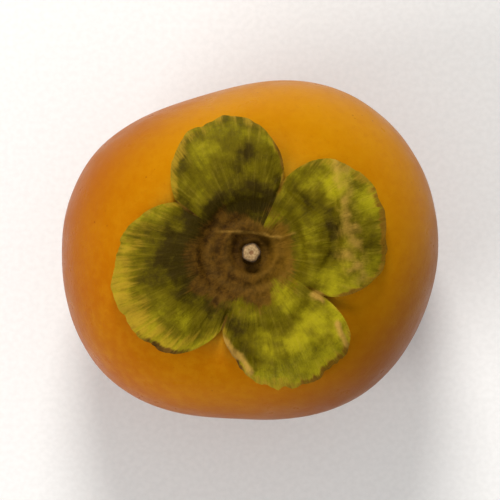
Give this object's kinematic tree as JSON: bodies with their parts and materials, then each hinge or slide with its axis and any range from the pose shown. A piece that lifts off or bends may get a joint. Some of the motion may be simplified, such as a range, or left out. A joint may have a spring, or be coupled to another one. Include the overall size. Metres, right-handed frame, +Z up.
{
  "type": "persimmon",
  "caption": "Squat orange sweet persimmon with a squarish outline, a brown and green lobed calyx on top and a short clipped stalk.",
  "frame": {"origin": "middle of the bounding box at the level of the flat spot round the blossom end that the fruit rests on", "axes": "+Z up through the fruit to the calyx and stalk, +X the widest way across the fruit"},
  "size_m": [0.0784, 0.0706, 0.0619],
  "materials": {
    "skin": "smooth waxy orange skin, satin",
    "calyx_leaf": "dull leathery green drying to brown at the disc and folds",
    "stalk_wood": "pale cut wood with brown bark"
  },
  "bodies": {
    "root": {"fruit": "skin", "calyx": "calyx_leaf", "stem_stub": "stalk_wood"}
  },
  "joints": []
}
